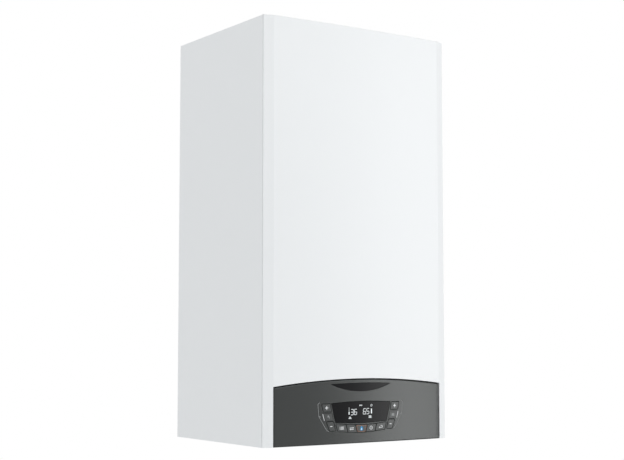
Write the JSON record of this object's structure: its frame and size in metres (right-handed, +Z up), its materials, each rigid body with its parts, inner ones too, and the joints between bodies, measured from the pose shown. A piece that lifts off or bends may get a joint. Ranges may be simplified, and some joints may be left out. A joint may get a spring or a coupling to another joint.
{
  "type": "system boiler",
  "caption": "Wall-hung system boiler: white steel casing, lift-off front, grey control fascia with display and keys on a tilting box, burner, pump and vessel inside.",
  "frame": {"origin": "on the wall plane, midway between the two hanging slots of the back frame", "axes": "+Z up, +Y from the room into the wall, +X to the right as seen from the room; the front faces -Y"},
  "size_m": [0.4, 0.3123, 0.771],
  "materials": {
    "white_steel": "white powder coat, satin",
    "galvanised_steel": "zinc coated",
    "rubber_seal": "black moulded rubber",
    "foam_seal": "grey foam strip",
    "white_plastic": "moulded, matt",
    "stainless": "rolled stainless steel",
    "cast_aluminium": "as cast",
    "ceramic": "glazed ceramic with steel rod",
    "fan_metal": "die cast",
    "black_plastic": "fine textured",
    "moving_plastic": "moulded",
    "gas_pipe_steel": "plated steel tube",
    "red_vessel": "red enamel",
    "copper": "drawn copper tube",
    "brass": "turned brass",
    "grey_composite": "glass filled composite",
    "red_plastic": "moulded, gloss",
    "trap_plastic": "translucent grey",
    "fascia_grey": "metallic grey lacquer, satin",
    "window_black": "gloss black",
    "circuit_board": "solder mask",
    "key_grey": "satin grey"
  },
  "bodies": {
    "root": {"air_blanking_plate": "white_steel", "air_vent": "brass", "back_frame": "galvanised_steel", "bottom_tray": "galvanised_steel", "burner": "stainless", "burner_door": "cast_aluminium", "casing_screws": "galvanised_steel", "condensate_trap": "trap_plastic", "discharge_pipe": "copper", "electrodes": "ceramic", "exchanger_body": "stainless", "exchanger_coil": "stainless", "expansion_vessel": "red_vessel", "fan_housing": "fan_metal", "fan_motor": "black_plastic", "flow_block": "grey_composite", "flow_pipe": "copper", "flue_duct": "white_plastic", "flue_turret": "white_plastic", "gas_feed_pipe": "gas_pipe_steel", "gas_inlet_pipe": "gas_pipe_steel", "gas_valve": "cast_aluminium", "hinge_pins": "galvanised_steel", "left_side_panel": "white_steel", "panel_gasket": "foam_seal", "pipe_grommets": "rubber_seal", "pump_body": "grey_composite", "pump_motor": "black_plastic", "relief_valve": "brass", "return_pipe": "copper", "right_side_panel": "white_steel", "sampling_caps": "rubber_seal", "sensors": "black_plastic", "top_plate": "white_steel", "trap_pipe": "trap_plastic", "turret_gasket": "rubber_seal", "venturi": "cast_aluminium", "vessel_pipe": "copper", "water_tails": "copper"},
    "front_panel": {"front_panel": "white_steel"},
    "control_box": {"control_box": "black_plastic", "fascia": "fascia_grey", "display_window": "window_black", "badge_inset": "window_black", "display_board": "circuit_board", "main_board": "circuit_board", "box_cover": "black_plastic"},
    "key_hot_plus": {"key_hot_plus": "key_grey"},
    "key_hot_minus": {"key_hot_minus": "key_grey"},
    "key_heat_plus": {"key_heat_plus": "key_grey"},
    "key_heat_minus": {"key_heat_minus": "key_grey"},
    "key_menu": {"key_menu": "key_grey"},
    "key_mode": {"key_mode": "key_grey"},
    "key_reset": {"key_reset": "key_grey"},
    "key_info": {"key_info": "key_grey"},
    "key_escape": {"key_escape": "key_grey"},
    "fan_impeller": {"fan_impeller": "moving_plastic"},
    "pump_impeller": {"pump_impeller": "moving_plastic"},
    "relief_knob": {"relief_knob": "red_plastic"},
    "drain_knob": {"drain_knob": "black_plastic"}
  },
  "joints": [
    {"name": "front_panel_lift", "type": "slide", "parent": "root", "child": "front_panel", "axis": [0, -0.6, 0.8], "range_m": [0, 0.3]},
    {"name": "control_box_tilt", "type": "hinge", "parent": "root", "child": "control_box", "pos_m": [0, -0.226, -0.679], "axis": [1, 0, 0], "range_deg": [0, 85]},
    {"name": "key_hot_plus_press", "type": "slide", "parent": "control_box", "child": "key_hot_plus", "axis": [0, 1, 0], "range_m": [0, 0.0008], "stiffness_N_per_m": 250},
    {"name": "key_hot_minus_press", "type": "slide", "parent": "control_box", "child": "key_hot_minus", "axis": [0, 1, 0], "range_m": [0, 0.0008], "stiffness_N_per_m": 250},
    {"name": "key_heat_plus_press", "type": "slide", "parent": "control_box", "child": "key_heat_plus", "axis": [0, 1, 0], "range_m": [0, 0.0008], "stiffness_N_per_m": 250},
    {"name": "key_heat_minus_press", "type": "slide", "parent": "control_box", "child": "key_heat_minus", "axis": [0, 1, 0], "range_m": [0, 0.0008], "stiffness_N_per_m": 250},
    {"name": "key_menu_press", "type": "slide", "parent": "control_box", "child": "key_menu", "axis": [0, 1, 0], "range_m": [0, 0.0008], "stiffness_N_per_m": 250},
    {"name": "key_mode_press", "type": "slide", "parent": "control_box", "child": "key_mode", "axis": [0, 1, 0], "range_m": [0, 0.0008], "stiffness_N_per_m": 250},
    {"name": "key_reset_press", "type": "slide", "parent": "control_box", "child": "key_reset", "axis": [0, 1, 0], "range_m": [0, 0.0008], "stiffness_N_per_m": 250},
    {"name": "key_info_press", "type": "slide", "parent": "control_box", "child": "key_info", "axis": [0, 1, 0], "range_m": [0, 0.0008], "stiffness_N_per_m": 250},
    {"name": "key_escape_press", "type": "slide", "parent": "control_box", "child": "key_escape", "axis": [0, 1, 0], "range_m": [0, 0.0008], "stiffness_N_per_m": 250},
    {"name": "fan_spin", "type": "hinge", "parent": "root", "child": "fan_impeller", "pos_m": [0.017, -0.15, -0.34], "axis": [0, 0, 1], "continuous": true},
    {"name": "pump_spin", "type": "hinge", "parent": "root", "child": "pump_impeller", "pos_m": [0.134, -0.145, -0.522], "axis": [0, 1, 0], "continuous": true},
    {"name": "relief_knob_turn", "type": "hinge", "parent": "root", "child": "relief_knob", "pos_m": [-0.134, -0.2, -0.566], "axis": [0, -1, 0], "range_deg": [0, 90]},
    {"name": "drain_knob_turn", "type": "hinge", "parent": "root", "child": "drain_knob", "pos_m": [0.08, -0.135, -0.594], "axis": [-1, 0, 0], "range_deg": [0, 90]}
  ]
}
